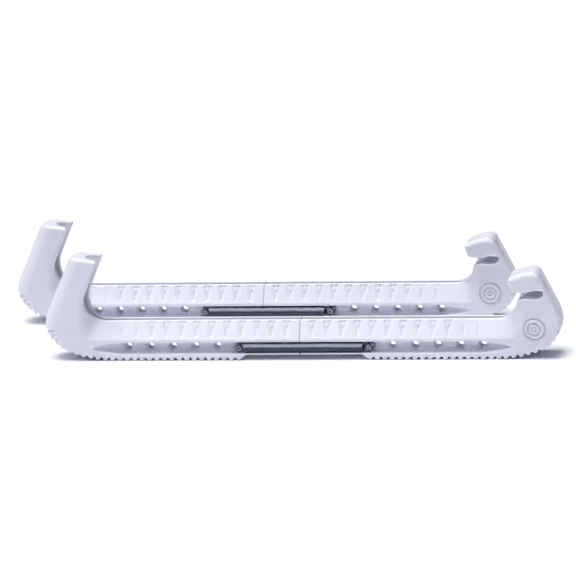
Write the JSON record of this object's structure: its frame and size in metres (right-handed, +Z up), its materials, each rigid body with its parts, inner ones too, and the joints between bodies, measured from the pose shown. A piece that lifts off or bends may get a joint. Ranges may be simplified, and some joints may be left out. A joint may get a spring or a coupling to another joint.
{
  "type": "ice skate blade guards",
  "caption": "Pair of hard plastic skate blade guards, each a slotted toe half and a hooked heel half held together by side springs.",
  "frame": {"origin": "middle of the pair's footprint, on the ground plane that the tread teeth stand on", "axes": "+X from toe to heel, +Z up, +Y from the front guard to the rear guard"},
  "size_m": [0.3844, 0.1198, 0.0694],
  "materials": {
    "white_plastic": "satin moulded white",
    "spring_steel": "dark drawn spring wire",
    "pin_steel": "bright turned steel"
  },
  "bodies": {
    "front_toe": {"front_toe_half": "white_plastic", "front_near_spring": "spring_steel", "front_far_spring": "spring_steel", "front_toe_cross_pin": "pin_steel"},
    "front_heel": {"front_heel_half": "white_plastic", "front_heel_cross_pin": "pin_steel"},
    "rear_toe": {"rear_toe_half": "white_plastic", "rear_near_spring": "spring_steel", "rear_far_spring": "spring_steel", "rear_toe_cross_pin": "pin_steel"},
    "rear_heel": {"rear_heel_half": "white_plastic", "rear_heel_cross_pin": "pin_steel"}
  },
  "joints": [
    {"name": "front_heel_pull", "type": "slide", "parent": "front_toe", "child": "front_heel", "axis": [1, 0, 0], "range_m": [0, 0.03], "stiffness_N_per_m": 820, "springref_m": -0.01, "deforming": ["front_near_spring", "front_far_spring"]},
    {"name": "rear_guard_apart", "type": "slide", "parent": "front_toe", "child": "rear_toe", "axis": [0, 1, 0], "range_m": [0, 0.05]},
    {"name": "rear_heel_pull", "type": "slide", "parent": "rear_toe", "child": "rear_heel", "axis": [1, 0, 0], "range_m": [0, 0.03], "stiffness_N_per_m": 820, "springref_m": -0.01, "deforming": ["rear_near_spring", "rear_far_spring"]}
  ]
}
